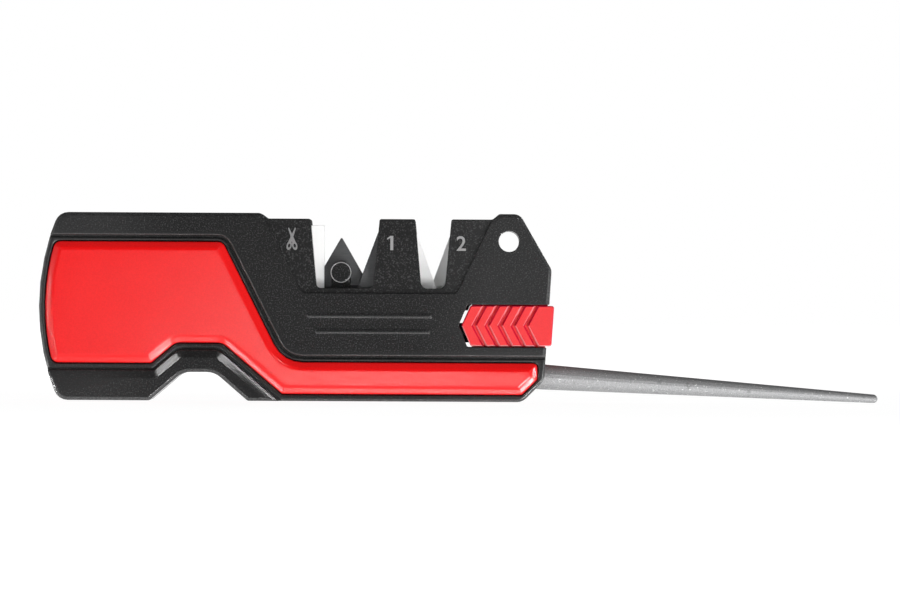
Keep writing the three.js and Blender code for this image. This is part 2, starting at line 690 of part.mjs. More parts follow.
// A small stop in the upper left of the handle slot, shaped to the handle's nose.
function stopNub(side) {
  const slotX = HANDLE_NOSE_X + HANDLE_NOSE_LENGTH - HANDLE_NOSE_GAP;
  const top = HANDLE_TOP + FIT;
  const y = [side * PARTING_FACE, side * STOP_NUB_HALF].sort((a, b) => a - b);
  const right = slotX + HANDLE_NOSE_GAP + TONGUE_SETBACK - STOP_NUB_GAP;
  const stock = block(slotX - 2 * FIT, right, ...y, top - STOP_NUB_HEIGHT, top + FIT);
  const clearance = prism(outline(handleCorners(), -STOP_NUB_GAP), -OUTSIDE, OUTSIDE);
  return cut(solid(stock), [clearance]);
}

// The narrow groove between the rim of the panel and the foot of the raised blocks.
function rimGrooveCut(side) {
  const rim = rimCorners();
  const band = solid(prism(outline(rim), side * (RIM_HALF - RIM_GROOVE_DEPTH), side * OUTSIDE));
  return cut(band, [prism(outline(rim, RIM_GROOVE_WIDTH), -OUTSIDE, OUTSIDE)]);
}

// The space over the rim, whose walls lean out over the blocks by a width and a drop.
function rimCut(side, width, drop) {
  const rim = rimCorners();
  const foot = BLOCK_HALF - drop;
  const skim = BLOCK_HALF + BLOCK_SKIM;
  const spread = (width * (skim - foot)) / drop;
  return solid(loft([
    { y: side * RIM_HALF, points: outline(rim) },
    { y: side * foot, points: outline(rim) },
    { y: side * skim, points: outline(rim, -spread) },
  ]));
}

// The chamfer along the outside of the rim: what lies beyond a leaning wall.
function rimEdgeCut(side) {
  const corners = housingCorners();
  const low = RIM_HALF - RIM_EDGE;
  const kept = loft([
    { y: side * (low - BLOCK_SKIM), points: outline(corners, -BLOCK_SKIM) },
    { y: side * (RIM_HALF + BLOCK_SKIM), points: outline(corners, RIM_EDGE + BLOCK_SKIM) },
  ]);
  return cut(solid(prism(outline(rimCorners()), side * low, side * OUTSIDE)), [kept]);
}

function rimCuts(side) {
  const below = solid(prism(outline(belowPanelCorners()), -OUTSIDE, OUTSIDE));
  return rimCut(side, BLOCK_EDGE, BLOCK_EDGE)
    .add(rimCut(side, BLOCK_BORDER, BLOCK_BORDER_DROP))
    .add(rimCut(side, LOWER_BEVEL, LOWER_BEVEL_DROP).intersect(below));
}

function shellBlank(side) {
  const corners = housingCorners();
  const ribs = TRIM_RIBS.map((rib) => trimRib(rib, side));
  const slab = loft([
    { y: side * PARTING_FACE, points: outline(corners) },
    { y: side * (BLOCK_HALF - EDGE_CHAMFER), points: outline(corners) },
    { y: side * BLOCK_HALF, points: outline(corners, EDGE_CHAMFER) },
  ]);
  return cut(join(slab, ...ribs), [
    prism(outline(panelCorners(), -FIT), side * PANEL_FLOOR, side * OUTSIDE),
    prism(outline(stationCorners()), side * (BLOCK_HALF - STATION_DEPTH), side * OUTSIDE),
    prism(outline(slotCorners(COARSE_SLOT)), -OUTSIDE, OUTSIDE),
    prism(outline(slotCorners(FINE_SLOT)), -OUTSIDE, OUTSIDE),
    cylinderAlongY(LANYARD_HOLE.x, BODY_HEIGHT - LANYARD_HOLE.below, LANYARD_HOLE.radius, -OUTSIDE, OUTSIDE),
    ...PANEL_PEGS.map(([x, z]) => {
      const holeFloor = side * (PANEL_FLOOR - PANEL_PEG_LENGTH);
      return cylinderAlongY(x, z, PANEL_PEG_RADIUS + FIT, holeFloor, side * OUTSIDE, SMALL_ROUND_SIDES);
    }),
    ...rodChannelCuts(),
    springPocketCut(),
    ...fireSteelCuts(),
  ]).subtract(rimCuts(side))
    .subtract(rimEdgeCut(side))
    .subtract(rimGrooveCut(side))
    .subtract(hollowCut(side))
    .add(stopNub(side));
}

function insertPocket(corners, side, layer) {
  return prism(outline(corners, -FIT), 0, side * (PARTING_FACE + layer + FIT));
}

function buildFrontShell() {
  const side = -1;
  const cutShell = cut(shellBlank(side), [
    insertPocket(guideStoneCorners(), side, FRONT_LAYER),
    insertPocket(leaningBarCorners(COARSE_EDGE, 1), side, FRONT_LAYER),
    insertPocket(leaningBarCorners(FINE_EDGE, -1), side, FRONT_LAYER),
    ...SCREW_PLACES.map(([x, z]) => {
      const holeEnd = side * (SCREW_TIP + FIT);
      return cylinderAlongY(x, z, SCREW_RADIUS + FIT, 0, holeEnd, SMALL_ROUND_SIDES);
    }),
  ]);
  const pegEnd = PARTING_FACE + REAR_LAYER - FIT;
  const peg = cylinderAlongY(TRIANGLE_X, TRIANGLE_Z, POST_PEG_RADIUS, -PARTING_GAP, pegEnd);
  return cutShell.add(join(...postPieces(side, PARTING_FACE), peg));
}

function buildBackShell() {
  const side = 1;
  const cutShell = cut(shellBlank(side), [
    insertPocket(triangleCorners(), side, REAR_LAYER),
    insertPocket(leaningBarCorners(FINE_EDGE, 1), side, REAR_LAYER),
    ...SCREW_PLACES.flatMap(([x, z]) => [
      cylinderAlongY(x, z, SCREW_RADIUS + FIT, 0, OUTSIDE, SMALL_ROUND_SIDES),
      cylinderAlongY(x, z, SCREW_HEAD_RADIUS + FIT, SCREW_SEAT, OUTSIDE),
    ]),
  ]);
  return cutShell.add(join(...postPieces(side, PARTING_FACE + REAR_LAYER + FIT)));
}

// Grip panels

function buildGripPanel(side) {
  const corners = panelCorners();
  const inner = PANEL_FLOOR + FIT;
  const face = BLOCK_HALF - PANEL_SUNK;
  const crown = PANEL_CROWN.map(([inset, drop]) => (
    { y: side * (face - drop), points: outline(corners, inset) }
  ));
  const plate = loft([{ y: side * inner, points: outline(corners) }, ...crown]);
  const pegs = PANEL_PEGS.map(([x, z]) => {
    const pegEnd = inner - PANEL_PEG_LENGTH;
    return cylinderAlongY(x, z, PANEL_PEG_RADIUS, side * pegEnd, side * (inner + OVERCUT), SMALL_ROUND_SIDES);
  });
  return join(plate, ...pegs);
}

// Sharpening inserts

function insertBar(corners, side, layer) {
  return prism(outline(corners), side * PARTING_FACE, side * (PARTING_FACE + layer));
}

function buildScissorCarbide() {
  const bore = cylinderAlongY(TRIANGLE_X, TRIANGLE_Z, POST_PEG_RADIUS + FIT, -OUTSIDE, OUTSIDE);
  return cut(solid(insertBar(triangleCorners(), 1, REAR_LAYER)), [bore]);
}

// Diamond rod and its carriage, in the rod frame with X along the rod

function buildDiamondRod() {
  const tipStart = ROD_LENGTH - ROD_TIP_RADIUS;
  const tip = Array.from({ length: ARC_STEPS }, (_, i) => {
    const angle = (Math.PI / 2) * ((i + 1) / ARC_STEPS);
    return new THREE.Vector2(ROD_TIP_RADIUS * Math.cos(angle), tipStart + ROD_TIP_RADIUS * Math.sin(angle));
  });
  tip.at(-1).x = 0;
  const profile = [
    new THREE.Vector2(0, -ROD_ROOT - TANG_LENGTH),
    new THREE.Vector2(TANG_RADIUS, -ROD_ROOT - TANG_LENGTH),
    new THREE.Vector2(TANG_RADIUS, -ROD_ROOT),
    new THREE.Vector2(ROD_BASE_RADIUS, -ROD_ROOT),
    new THREE.Vector2(ROD_BASE_RADIUS, 0),
    new THREE.Vector2(ROD_TIP_RADIUS, tipStart),
    ...tip,
  ];
  return new THREE.LatheGeometry(profile, ROUND_SIDES).rotateZ(-Math.PI / 2);
}

function buildRodCarriage() {
  const wings = block(
    CARRIAGE_BACK, CARRIAGE_FRONT, -WING_REACH, WING_REACH, -WING_HALF_HEIGHT, WING_HALF_HEIGHT,
  );
  const barrel = cylinderAlongX(CARRIAGE_BACK, CARRIAGE_FRONT, 0, CARRIAGE_RADIUS);
  const socketEnd = -ROD_ROOT - TANG_LENGTH - FIT;
  return cut(join(barrel, wings), [cylinderAlongX(socketEnd, 0, 0, TANG_RADIUS + FIT)]);
}

function buildDetentSpring() {
  const middle = CARRIAGE_BACK + SPRING_LENGTH / 2;
  const half = SPRING_LENGTH / 2;
  const under = SPRING_SEAT - SPRING_GAUGE;
  const strip = [
    [-half, under], [-SPRING_BUMP_HALF, under], [0, under - SPRING_BUMP],
    [SPRING_BUMP_HALF, under], [half, under], [half, SPRING_SEAT],
    [SPRING_BUMP_HALF - SPRING_GAUGE / 2, SPRING_SEAT], [0, SPRING_SEAT - SPRING_BUMP + SPRING_GAUGE / 4],
    [SPRING_GAUGE / 2 - SPRING_BUMP_HALF, SPRING_SEAT], [-half, SPRING_SEAT],
  ];
  const points = strip.map(([s, z]) => new THREE.Vector2(middle + s, z));
  return prism(points, -SPRING_WIDTH / 2, SPRING_WIDTH / 2);
}

// Fire steel

function buildFireSteelHandle() {
  const corners = handleCorners();
  const straight = HANDLE_HALF - HANDLE_CHAMFER;
  const grip = loft([
    { y: -HANDLE_HALF, points: outline(corners, HANDLE_CHAMFER) },
    { y: -straight, points: outline(corners) },
    { y: straight, points: outline(corners) },
    { y: HANDLE_HALF, points: outline(corners, HANDLE_CHAMFER) },
  ]);
  const tongueStart = HANDLE_NOSE_X + HANDLE_NOSE_LENGTH + TONGUE_SETBACK;
  const tongue = block(
    tongueStart, rightEnd(HANDLE_TOP) - TONGUE_END_SETBACK,
    -TONGUE_HALF, TONGUE_HALF, HANDLE_TOP - OVERCUT, HANDLE_TOP + TONGUE_HEIGHT,
  );
  const lowerTongue = block(
    tongueStart, rightEnd(HANDLE_BOTTOM) - TONGUE_END_SETBACK,
    -TONGUE_HALF, TONGUE_HALF, HANDLE_BOTTOM - LOWER_TONGUE_HEIGHT, HANDLE_BOTTOM + OVERCUT,
  );
  const socketEnd = HANDLE_NOSE_X + FLINT_SOCKET + FIT;
  const cuts = [cylinderAlongX(HANDLE_NOSE_X - OVERCUT, socketEnd, FLINT_HEIGHT, FLINT_RADIUS + FIT)];
  for (let i = 0; i < CHEVRON_COUNT; i += 1) {
    const x = CHEVRON_FIRST + CHEVRON_PITCH * i;
    for (const side of [-1, 1]) {
      cuts.push(loft([
        { y: side * (HANDLE_HALF - CHEVRON_DEPTH), points: chevronOutline(x, CHEVRON_FLOOR) },
        { y: side * (HANDLE_HALF - CHEVRON_EDGE), points: chevronOutline(x, CHEVRON_WIDTH - 2 * CHEVRON_EDGE) },
        { y: side * (HANDLE_HALF + CHEVRON_EDGE), points: chevronOutline(x, CHEVRON_WIDTH + 2 * CHEVRON_EDGE) },
      ]));
    }
  }
  return cut(join(grip, tongue, lowerTongue), cuts);
}

function buildFireSteelRod() {
  const end = HANDLE_NOSE_X + FLINT_SOCKET;
  return cylinderAlongX(end - FLINT_LENGTH, end, FLINT_HEIGHT, FLINT_RADIUS);
}

// Housing screw with a cross drive, along Y with its head to the back

function buildHousingScrew(x, z) {
  const under = SCREW_SEAT + FIT;
  const top = under + SCREW_HEAD_HEIGHT;
  const profile = [
    new THREE.Vector2(0, -SCREW_TIP),
    new THREE.Vector2(SCREW_RADIUS, SCREW_RADIUS - SCREW_TIP),
    new THREE.Vector2(SCREW_RADIUS, under),
    new THREE.Vector2(SCREW_HEAD_RADIUS, under),
    new THREE.Vector2(SCREW_HEAD_RADIUS, top - SCREW_HEAD_EDGE),
    new THREE.Vector2(SCREW_HEAD_RADIUS - SCREW_HEAD_EDGE, top),
    new THREE.Vector2(0, top),
  ];
  const half = DRIVE_SLOT_WIDTH / 2;
  const reach = DRIVE_SLOT_LENGTH / 2;
  const floor = top - DRIVE_SLOT_DEPTH;
  const body = cut(solid(new THREE.LatheGeometry(profile, SMALL_ROUND_SIDES)), [
    block(-half, half, floor, top + OVERCUT, -reach, reach),
    block(-reach, reach, floor, top + OVERCUT, -half, half),
  ]);
  return surface(body).translate(x, 0, z);
}

addPiece('front_shell', surface(buildFrontShell()), FINISHES.blackPlastic);
addPiece('back_shell', surface(buildBackShell()), FINISHES.blackPlastic);
addPiece('front_grip_panel', surface(buildGripPanel(-1)), FINISHES.redPlastic);
addPiece('back_grip_panel', surface(buildGripPanel(1)), FINISHES.redPlastic);
addPiece('guide_stone', insertBar(guideStoneCorners(), -1, FRONT_LAYER), FINISHES.whiteCeramic);
addPiece('scissor_carbide', surface(buildScissorCarbide()), FINISHES.carbide);
const coarseBar = leaningBarCorners(COARSE_EDGE, 1);
addPiece('coarse_carbide', insertBar(coarseBar, -1, FRONT_LAYER), FINISHES.carbide);
const frontFineBar = leaningBarCorners(FINE_EDGE, -1);
addPiece('front_fine_stone', insertBar(frontFineBar, -1, FRONT_LAYER), FINISHES.whiteCeramic);
const rearFineBar = leaningBarCorners(FINE_EDGE, 1);
addPiece('rear_fine_stone', insertBar(rearFineBar, 1, REAR_LAYER), FINISHES.whiteCeramic);
addPiece('diamond_rod', buildDiamondRod(), FINISHES.diamondGrit, rodFrame);
addPiece('rod_carriage', surface(buildRodCarriage()), FINISHES.blackPlastic, rodFrame);
addPiece('rod_detent_spring', buildDetentSpring(), FINISHES.springSteel, rodFrame);
addPiece('fire_steel_handle', surface(buildFireSteelHandle()), FINISHES.redPlastic);
addPiece('fire_steel_rod', buildFireSteelRod(), FINISHES.flint);
SCREW_PLACES.forEach(([x, z], i) => {
  addPiece(`housing_screw_${i + 1}`, buildHousingScrew(x, z), FINISHES.screwSteel);
});

// The origin is the middle of the base, with the rod out
const bounds = new THREE.Box3().setFromObject(sharpener, true);
const middle = bounds.getCenter(new THREE.Vector3());
sharpener.position.set(-middle.x, -middle.y, -bounds.min.z);

export default sharpener;
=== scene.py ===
# %% [markdown]
# # A pocket knife sharpener
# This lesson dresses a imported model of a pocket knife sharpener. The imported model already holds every
# piece at its real size and place, and the joints that move them. It could be coloured as it is, but its
# edges are hard and its faces bare. So Blender adds what a camera sees: rounded edges, moulded and ground
# finishes, printed signs and light.

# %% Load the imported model
import math

import bmesh
import bpy
from mathutils import Matrix, Vector


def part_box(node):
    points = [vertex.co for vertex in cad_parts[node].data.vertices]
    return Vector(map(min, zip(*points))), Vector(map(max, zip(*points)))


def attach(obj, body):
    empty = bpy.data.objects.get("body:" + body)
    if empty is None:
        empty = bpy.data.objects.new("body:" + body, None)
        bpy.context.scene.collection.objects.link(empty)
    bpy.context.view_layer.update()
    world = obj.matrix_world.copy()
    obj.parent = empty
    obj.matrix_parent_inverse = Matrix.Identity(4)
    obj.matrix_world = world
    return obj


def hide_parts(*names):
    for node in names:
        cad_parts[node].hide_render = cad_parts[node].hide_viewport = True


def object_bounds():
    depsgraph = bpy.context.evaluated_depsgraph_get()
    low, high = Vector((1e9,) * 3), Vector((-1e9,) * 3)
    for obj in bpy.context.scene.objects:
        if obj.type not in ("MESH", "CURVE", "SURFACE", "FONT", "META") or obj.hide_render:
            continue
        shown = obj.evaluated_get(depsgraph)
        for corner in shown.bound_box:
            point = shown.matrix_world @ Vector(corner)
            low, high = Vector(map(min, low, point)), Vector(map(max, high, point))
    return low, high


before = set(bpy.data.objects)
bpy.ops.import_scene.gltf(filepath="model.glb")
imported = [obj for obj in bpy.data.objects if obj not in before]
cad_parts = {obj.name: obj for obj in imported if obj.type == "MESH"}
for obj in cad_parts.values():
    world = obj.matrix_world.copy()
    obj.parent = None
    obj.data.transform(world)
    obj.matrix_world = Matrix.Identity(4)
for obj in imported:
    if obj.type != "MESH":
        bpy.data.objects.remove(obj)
packed_low, packed_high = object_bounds()
MM = 0.001
housing_low, housing_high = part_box("front_shell")
housing_middle = (housing_low.x + housing_high.x) / 2
print("packed size in mm:", [round(side / MM, 2) for side in packed_high - packed_low])

# %% [markdown]
# ## Camera
# The photograph looks straight at the front face from well over a metre away. A camera could be placed by
# eye, but the housing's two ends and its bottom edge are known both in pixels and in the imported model,
# and they fix the scale and the aim. So a long lens stands where the photographer stood. The picture is
# turned by a third of a degree, which a small roll of the camera repeats.

# %% Camera at the photograph's viewing angle
PHOTO_SIZE = (900, 600)
PHOTO_LEFT_END, PHOTO_RIGHT_END = 38.7, 551.4
PHOTO_BOTTOM_EDGE = 401.9
CAMERA_DISTANCE = 1.25
OUTLINE_DEPTH = 7.3 * MM
CAMERA_ROLL = math.radians(0.29)
SENSOR_WIDTH = 36.0

metres_per_pixel = (housing_high.x - housing_low.x) / (PHOTO_RIGHT_END - PHOTO_LEFT_END)
aim = Vector((
    housing_low.x + (PHOTO_SIZE[0] / 2 - PHOTO_LEFT_END) * metres_per_pixel,
    0.0,
    housing_low.z + (PHOTO_BOTTOM_EDGE - PHOTO_SIZE[1] / 2) * metres_per_pixel,
))
bpy.ops.object.camera_add(location=aim - Vector((0.0, CAMERA_DISTANCE, 0.0)))
camera = bpy.context.object
camera.data.sensor_width = SENSOR_WIDTH
outline_distance = CAMERA_DISTANCE - OUTLINE_DEPTH
camera.data.lens = SENSOR_WIDTH * outline_distance / (PHOTO_SIZE[0] * metres_per_pixel)
upright = Matrix.Rotation(math.radians(90), 4, "X") @ Matrix.Rotation(CAMERA_ROLL, 4, "Z")
camera.rotation_euler = upright.to_euler()
bpy.context.scene.camera = camera
bpy.context.scene.view_settings.view_transform = "Standard"
print("lens in mm:", round(camera.data.lens, 1), "aim in mm:", [round(c / MM, 1) for c in aim])

# %% [markdown]
# ## Shader arithmetic
# A real finish is never one plain colour, so each material mixes a few patterns by small sums. The Math
# nodes could be wired one by one, which is long and hard to read. Instead a small class wraps a socket,
# and Python's own operators add the nodes.

# %% Sockets that can be added and multiplied
class Wire:
    """One output socket of a node tree. Arithmetic on it adds Math nodes to that tree."""

    def __init__(self, nodes, socket):
        self.nodes = nodes
        self.socket = socket

    def __add__(self, other):
        return self.nodes.math("ADD", self, other)

    def __radd__(self, other):
        return self.nodes.math("ADD", other, self)

    def __sub__(self, other):
        return self.nodes.math("SUBTRACT", self, other)

    def __rsub__(self, other):
        return self.nodes.math("SUBTRACT", other, self)

    def __mul__(self, other):
        return self.nodes.math("MULTIPLY", self, other)

    def __rmul__(self, other):
        return self.nodes.math("MULTIPLY", other, self)

    def __abs__(self):
        return self.nodes.math("ABSOLUTE", self, 0.0)


# %% Node trees with short ways to fill them
class Nodes:
    """A node tree with short ways to add nodes to it."""

    def __init__(self, tree):
        self.tree = tree

    def add(self, kind, settings=None, values=None, output=0):
        """Adds a node: its settings first, then the values or links of its sockets."""
        node = self.tree.nodes.new(kind)
        for key, value in (settings or {}).items():
            setattr(node, key, value)
        for socket, value in (values or {}).items():
            self.set(node, socket, value)
        return Wire(self, node.outputs[output])

    def set(self, node, socket, value):
        """Links a wire to a socket, or sets the socket to a plain value."""
        if isinstance(value, Wire):
            self.tree.links.new(value.socket, node.inputs[socket])
        else:
            node.inputs[socket].default_value = value

    def math(self, operation, first, second):
        return self.add("ShaderNodeMath", {"operation": operation}, {0: first, 1: second})

    def step(self, value, low, high):
        """Rises softly from 0 to 1 while the value goes from low to high."""
        return self.add("ShaderNodeMapRange", {"interpolation_type": "SMOOTHSTEP"},
                        {"Value": value, "From Min": low, "From Max": high})

    def part(self, vector, axis):
        return self.add("ShaderNodeSeparateXYZ", None, {0: vector}, output=axis)

    def seen(self):
        """Two masks: what the camera sees directly, and what it sees in a mirror or through glass."""
        direct = self.add("ShaderNodeLightPath", output="Is Camera Ray")
        mirrored = self.add("ShaderNodeLightPath", output="Is Glossy Ray")
        through = self.add("ShaderNodeLightPath", output="Is Transmission Ray")
        return direct, self.math("MAXIMUM", mirrored, through)


# %% A finish: one material and the patterns that feed it
class Finish(Nodes):
    """A material made of one Principled shader and the nodes that feed it."""

    def __init__(self, name, **constants):
        self.material = bpy.data.materials.new(name)
        self.material.use_nodes = True
        super().__init__(self.material.node_tree)
        self.shader = self.tree.nodes["Principled BSDF"]
        for socket, value in constants.items():
            self.feed(socket.replace("_", " "), value)
        self.place = self.add("ShaderNodeTexCoord", output="Object")

    def feed(self, socket, value):
        self.set(self.shader, socket, value)

    def noise(self, grain, detail=2.0, where=None):
        """Soft noise whose lumps are about one grain across, in metres."""
        return self.add("ShaderNodeTexNoise", None,
                        {"Vector": where or self.place, "Scale": 1 / grain, "Detail": detail})

    def blend(self, factor, first, second):
        """Mixes two colours."""
        return self.add("ShaderNodeMix", {"data_type": "RGBA"}, {0: factor, 6: first, 7: second}, output=2)

    def bump(self, height, depth):
        """Raises the surface by the height pattern, at most depth metres."""
        self.feed("Normal", self.add("ShaderNodeBump", None, {"Height": height, "Distance": depth}))

    def facing(self, axis):
        """The part of the surface's direction along one axis."""
        return self.part(self.add("ShaderNodeNewGeometry", output="Normal"), axis)

    def front_facing(self, loosest, tightest):
        """One on faces within the tightest angle of the front or back, zero beyond the loosest one."""
        lowest, highest = math.cos(math.radians(loosest)), math.cos(math.radians(tightest))
        return self.step(abs(self.facing("Y")), lowest, highest)

    def bevelled(self):
        """One on faces that are turned well away from the front and back."""
        return 1 - self.front_facing(11, 5)

    def done(self):
        """Says what the finish holds and gives back its material."""
        print("finish", self.material.name, "has", len(self.tree.nodes), "nodes")
        return self.material


def colour(red, green, blue):
    return (red, green, blue, 1.0)


# %% [markdown]
# ## Black housing
# The housing is black plastic from a spark-eroded mould. Its flat faces have tiny pits and grey specks of
# painted glints, its bevels are smoother, its two ends are painted paler as a sheen of light, and its steep
# edges are painted grey as highlights. Painted maps could carry all that, but they would fit one size only.
# So noise of a third of a millimetre makes the pits, and each zone is found by how far the surface turns
# away from the front, or by how far it lies from the middle.

# %% Black plastic
PIT_SIZE, PIT_DEPTH = 0.34 * MM, 0.11 * MM
GLINT_SPECK_SIZE = 0.32 * MM
BLACK_DRIFT = 9 * MM
# The two ends are painted paler, a painted sheen of the side lamps' light, rising between these distances.
END_SHEEN_FROM, END_SHEEN_TO = 25 * MM, 48 * MM
END_SHEEN_SHARE, EDGE_HIGHLIGHT_SHARE, GLINT_SHARE = 0.25, 0.75, 0.5
DEEP_BLACK, SOFT_BLACK = colour(0.0025, 0.0026, 0.0027), colour(0.0055, 0.0056, 0.0057)
# A grey painted on steep edges as painted highlights.
EDGE_HIGHLIGHT_GREY = colour(0.05, 0.05, 0.051)
# A grey painted in specks as painted glints on the flats and bevels.
GLINT_GREY = colour(0.085, 0.085, 0.086)


def black_moulding():
    finish = Finish("black_moulding", Specular_IOR_Level=0.17, Coat_Roughness=0.2)
    flat = finish.front_facing(2.4, 0.8)
    steep = finish.front_facing(65, 55) * (1 - finish.front_facing(35, 25))
    pits = finish.noise(PIT_SIZE, detail=3.0)
    # Grey specks in the colour: painted glints.
    painted_glints = finish.step(finish.noise(GLINT_SPECK_SIZE), 0.5, 0.72) * (0.4 + flat * 0.6)
    from_middle = abs(finish.part(finish.place, "X") - housing_middle)
    # Painted sheen: paler towards the two ends.
    painted_end_sheen = finish.step(from_middle, END_SHEEN_FROM, END_SHEEN_TO)
    # Painted highlight on steep edges, broken up by the pits.
    painted_edge_lighting = steep * finish.step(pits, 0.42, 0.6)
    base = finish.blend(finish.noise(BLACK_DRIFT), DEEP_BLACK, SOFT_BLACK)
    base = finish.blend(painted_end_sheen * END_SHEEN_SHARE + painted_edge_lighting * EDGE_HIGHLIGHT_SHARE, base, EDGE_HIGHLIGHT_GREY)
    finish.feed("Base Color", finish.blend(painted_glints * GLINT_SHARE, base, GLINT_GREY))
    finish.feed("Roughness", 0.42 + flat * 0.1 + pits * 0.1)
    finish.feed("Coat Weight", finish.bevelled() * (0.5 + pits))
    finish.bump(pits * (0.3 + flat * 0.7), PIT_DEPTH)
    return finish.done()


black_plastic = black_moulding()

# %% [markdown]
# ## Red mouldings
# The grip panels are smooth red plastic with a soft gloss, a little smoother on their crowned rims. The
# fire steel's handle is a duller red: the walls of its grooves get a painted shade of deeper red, and those
# that look down get a painted highlight of pale red. They could be two unrelated materials, but they are
# one plastic in two states of polish, so one function makes both.

# %% Red plastic
RED_GRAIN, RED_GRAIN_DEPTH = 0.32 * MM, 0.025 * MM
RED_DRIFT = 7 * MM
# The steep walls of the handle's grooves are painted this deeper red as painted shade.
PAINTED_SHADE_RED = colour(0.6, 0.003, 0.04)
# Groove walls that look down are painted this pale red as a painted highlight.
PAINTED_HIGHLIGHT_RED = colour(0.95, 0.33, 0.34)
GLOW_REACH = 0.8 * MM


def red_moulding(name, deep, bright, roughness, polish, painted_edge_lighting=0.0, glow=0.0):
    """A red whose bevels are smoother by the polish. By the edge share, steep walls are painted deeper red
    as shade and the lower ones paler as highlight. The glow is the share of light that spreads inside the
    plastic."""
    finish = Finish(name, Specular_IOR_Level=0.46, Subsurface_Weight=glow, Subsurface_Scale=GLOW_REACH)
    grain = finish.noise(RED_GRAIN)
    mottle = finish.noise(RED_DRIFT) * 0.4 + finish.step(grain, 0.3, 0.7) * 0.6
    # Steep walls, by the edge share: painted shade of deeper red.
    steep = (1 - finish.front_facing(45, 38)) * painted_edge_lighting
    looks_down = finish.step(finish.facing("Z") * -1, 0.15, 0.3)
    base = finish.blend(steep, finish.blend(mottle, deep, bright), PAINTED_SHADE_RED)
    # Steep walls that look down: painted highlight of pale red.
    wear_and_painted_highlight = steep * finish.front_facing(70, 60) * looks_down
    finish.feed("Base Color", finish.blend(wear_and_painted_highlight, base, PAINTED_HIGHLIGHT_RED))
    finish.feed("Roughness", roughness + grain * 0.12 - finish.bevelled() * polish)
    finish.bump(grain * (1 - finish.bevelled() * 0.8), RED_GRAIN_DEPTH)
    return finish.done()


panel_plastic = red_moulding("red_panel_moulding", colour(0.68, 0.004, 0.005), colour(0.78, 0.007, 0.008),
                             roughness=0.18, polish=0.06)
handle_plastic = red_moulding("red_handle_moulding", colour(0.66, 0.008, 0.012), colour(0.74, 0.013, 0.017),
                              roughness=0.38, polish=0.1, painted_edge_lighting=0.8, glow=0.15)

# %% [markdown]
# ## Stones and carbides
# The ceramic stones are plain white with a powdery bloom, and the carbides are dark metal with fine
# grinding lines. Real scratches could be modelled, but they are thinner than a pixel. So noise makes the
# bloom, and noise that is drawn out along the housing makes the lines.

# %% White ceramic
def ceramic():
    finish = Finish("white_ceramic", Specular_IOR_Level=0.4)
    bloom = finish.noise(0.5 * MM, detail=4.0)
    dark, light = colour(0.95, 0.95, 0.945), colour(0.98, 0.98, 0.975)
    finish.feed("Base Color", finish.blend(bloom, dark, light))
    finish.feed("Roughness", 0.5 + bloom * 0.15)
    finish.bump(finish.noise(0.15 * MM), 0.004 * MM)
    return finish.done()


white_ceramic = ceramic()

# %% Ground carbide
LINE_STRETCH = (0.06, 1.0, 1.0)


def ground_carbide():
    finish = Finish("ground_carbide", Metallic=0.7)
    stretched = finish.add("ShaderNodeMapping", None, {"Vector": finish.place, "Scale": LINE_STRETCH})
    lines = finish.noise(0.12 * MM, detail=3.0, where=stretched)
    dark, light = colour(0.042, 0.0425, 0.044), colour(0.088, 0.089, 0.091)
    finish.feed("Base Color", finish.blend(lines, dark, light))
    finish.feed("Roughness", 0.36 + lines * 0.16)
    finish.bump(lines, 0.004 * MM)
    return finish.done()


dark_carbide = ground_carbide()

# %% [markdown]
# ## Rods, spring and screws
# The tapered rod is steel with diamond grit bonded to it. Grains could be scattered as tiny meshes, but
# thousands of them would cost much and show little. So one noise mixes pale and dark grains, a larger one
# wears patches down, and a third paints a few grains near white as painted glints. The fire steel's cast
# rod, the leaf spring and the screws are plain metal with a little wear.

# %% Diamond grit
def diamond_grit():
    finish = Finish("diamond_grit", Metallic=0.45)
    grains = finish.noise(0.3 * MM, detail=3.0)
    wear_and_painted_highlight = finish.step(finish.noise(1.6 * MM, detail=4.0), 0.6, 0.72)
    # A few grains painted near white: painted glints.
    painted_grain_glint = finish.step(finish.noise(0.42 * MM, detail=1.0), 0.68, 0.76)
    body = finish.blend(grains, colour(0.135, 0.136, 0.138), colour(0.425, 0.427, 0.431))
    body = finish.blend(wear_and_painted_highlight * 0.45, body, colour(0.1, 0.101, 0.103))
    finish.feed("Base Color", finish.blend(painted_grain_glint * 0.6, body, colour(0.85, 0.85, 0.85)))
    finish.feed("Roughness", 0.45 + grains * 0.2)
    finish.bump(grains, 0.05 * MM)
    return finish.done()


grit_steel = diamond_grit()

# %% Plain metals
def plain_metal(name, dark, light, roughness, metallic=1.0):
    finish = Finish(name, Metallic=metallic)
    wear = finish.noise(0.6 * MM, detail=4.0)
    finish.feed("Base Color", finish.blend(wear, dark, light))
    finish.feed("Roughness", roughness + wear * 0.15)
    finish.bump(finish.noise(0.2 * MM), 0.003 * MM)
    return finish.done()


cast_flint = plain_metal("cast_flint", colour(0.022, 0.022, 0.024), colour(0.045, 0.045, 0.048), 0.45, 0.5)
spring_steel = plain_metal("spring_steel", colour(0.5, 0.51, 0.53), colour(0.62, 0.63, 0.65), 0.25)
screw_steel = plain_metal("screw_steel", colour(0.3, 0.31, 0.33), colour(0.42, 0.43, 0.45), 0.3)

# %% [markdown]
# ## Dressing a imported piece
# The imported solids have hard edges, and nothing moulded or ground does. The edges could be faked in the
# shading, but then no outline would soften. So a copy of each piece is merged, its flat facets are joined
# into whole faces, and a narrow bevel rounds every edge. Normals weighted by area then keep the large
# faces flat and let only the bevels turn the light. The panels and the handle have their crowns and
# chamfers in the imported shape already, so they are only shaded, and the panels keep their facets.

# %% Selecting
def select_only(*pieces):
    bpy.ops.object.select_all(action="DESELECT")
    for piece in pieces:
        piece.select_set(True)
    bpy.context.view_layer.objects.active = pieces[0]


STRAIGHT = 0.99


